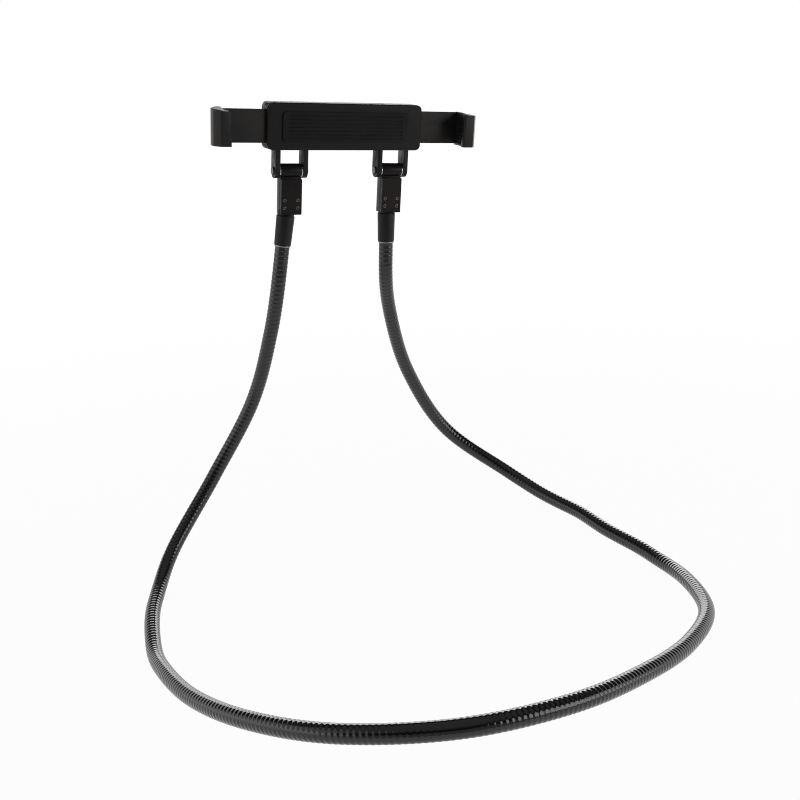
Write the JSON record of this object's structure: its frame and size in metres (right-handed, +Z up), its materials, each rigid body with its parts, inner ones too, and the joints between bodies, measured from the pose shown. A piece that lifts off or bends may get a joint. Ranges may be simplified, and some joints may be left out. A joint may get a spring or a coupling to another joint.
{
  "type": "gooseneck device holder",
  "caption": "Neck-worn or free-standing gooseneck loop that carries a tilting cradle with two spring-centred clamping jaws.",
  "frame": {"origin": "on the surface that the loop lies on, in the middle of the footprint", "axes": "+Z up, +X to the right along the cradle, +Y from the user's side to the back of the cradle"},
  "size_m": [0.3374, 0.3494, 0.3032],
  "materials": {
    "hose": "glossy black ribbed plastic",
    "core_wire": "plain drawn aluminium wire",
    "turned_metal": "turned, plain",
    "sleeve": "satin black moulded plastic",
    "bright_ring": "bright plated ring",
    "block": "satin black moulded plastic",
    "screw": "blackened steel",
    "steel": "plain steel",
    "housing": "fine-textured black moulded plastic",
    "rubber": "black silicone rubber",
    "spring_steel": "blue-grey spring steel",
    "gear_nylon": "natural nylon",
    "jaw": "satin black moulded plastic"
  },
  "bodies": {
    "gooseneck": {"gooseneck_hose": "hose", "gooseneck_core": "core_wire", "left_plug": "turned_metal", "right_plug": "turned_metal", "left_sleeve": "sleeve", "right_sleeve": "sleeve", "left_ferrule": "bright_ring", "right_ferrule": "bright_ring", "left_block": "block", "right_block": "block", "left_cover": "block", "right_cover": "block", "left_cover_screws": "screw", "right_cover_screws": "screw", "friction_washers": "steel"},
    "cradle": {"front_shell": "housing", "rear_shell": "housing", "rest_pad": "rubber", "shell_screws": "screw", "gear_axle": "steel", "return_spring": "spring_steel", "left_hinge_pin": "steel", "right_hinge_pin": "steel"},
    "pinion": {"gear": "gear_nylon"},
    "left_jaw": {"left_arm": "jaw", "left_jaw_pad": "rubber"},
    "right_jaw": {"right_arm": "jaw", "right_jaw_pad": "rubber"}
  },
  "joints": [
    {"name": "cradle_tilt", "type": "hinge", "parent": "gooseneck", "child": "cradle", "pos_m": [0.00589, 0.13601, 0.2576], "axis": [-0.9965, 0, 0.0837], "range_deg": [-5, 60]},
    {"name": "right_jaw_slide", "type": "slide", "parent": "cradle", "child": "right_jaw", "axis": [0.9965, 0, -0.0837], "range_m": [-0.025, 0.006]},
    {"name": "left_jaw_slide", "type": "slide", "parent": "cradle", "child": "left_jaw", "axis": [-0.9965, 0, 0.0837], "range_m": [-0.0251, 0.0061]},
    {"name": "gear_spin", "type": "hinge", "parent": "cradle", "child": "pinion", "pos_m": [0.00819, 0.13536, 0.285], "axis": [0, -1, 0], "range_deg": [-262, 64]}
  ],
  "couplings": [
    {"joint": "left_jaw_slide", "follows": "right_jaw_slide", "ratio": 1},
    {"joint": "gear_spin", "follows": "right_jaw_slide", "rad_per_m": 181.82}
  ]
}
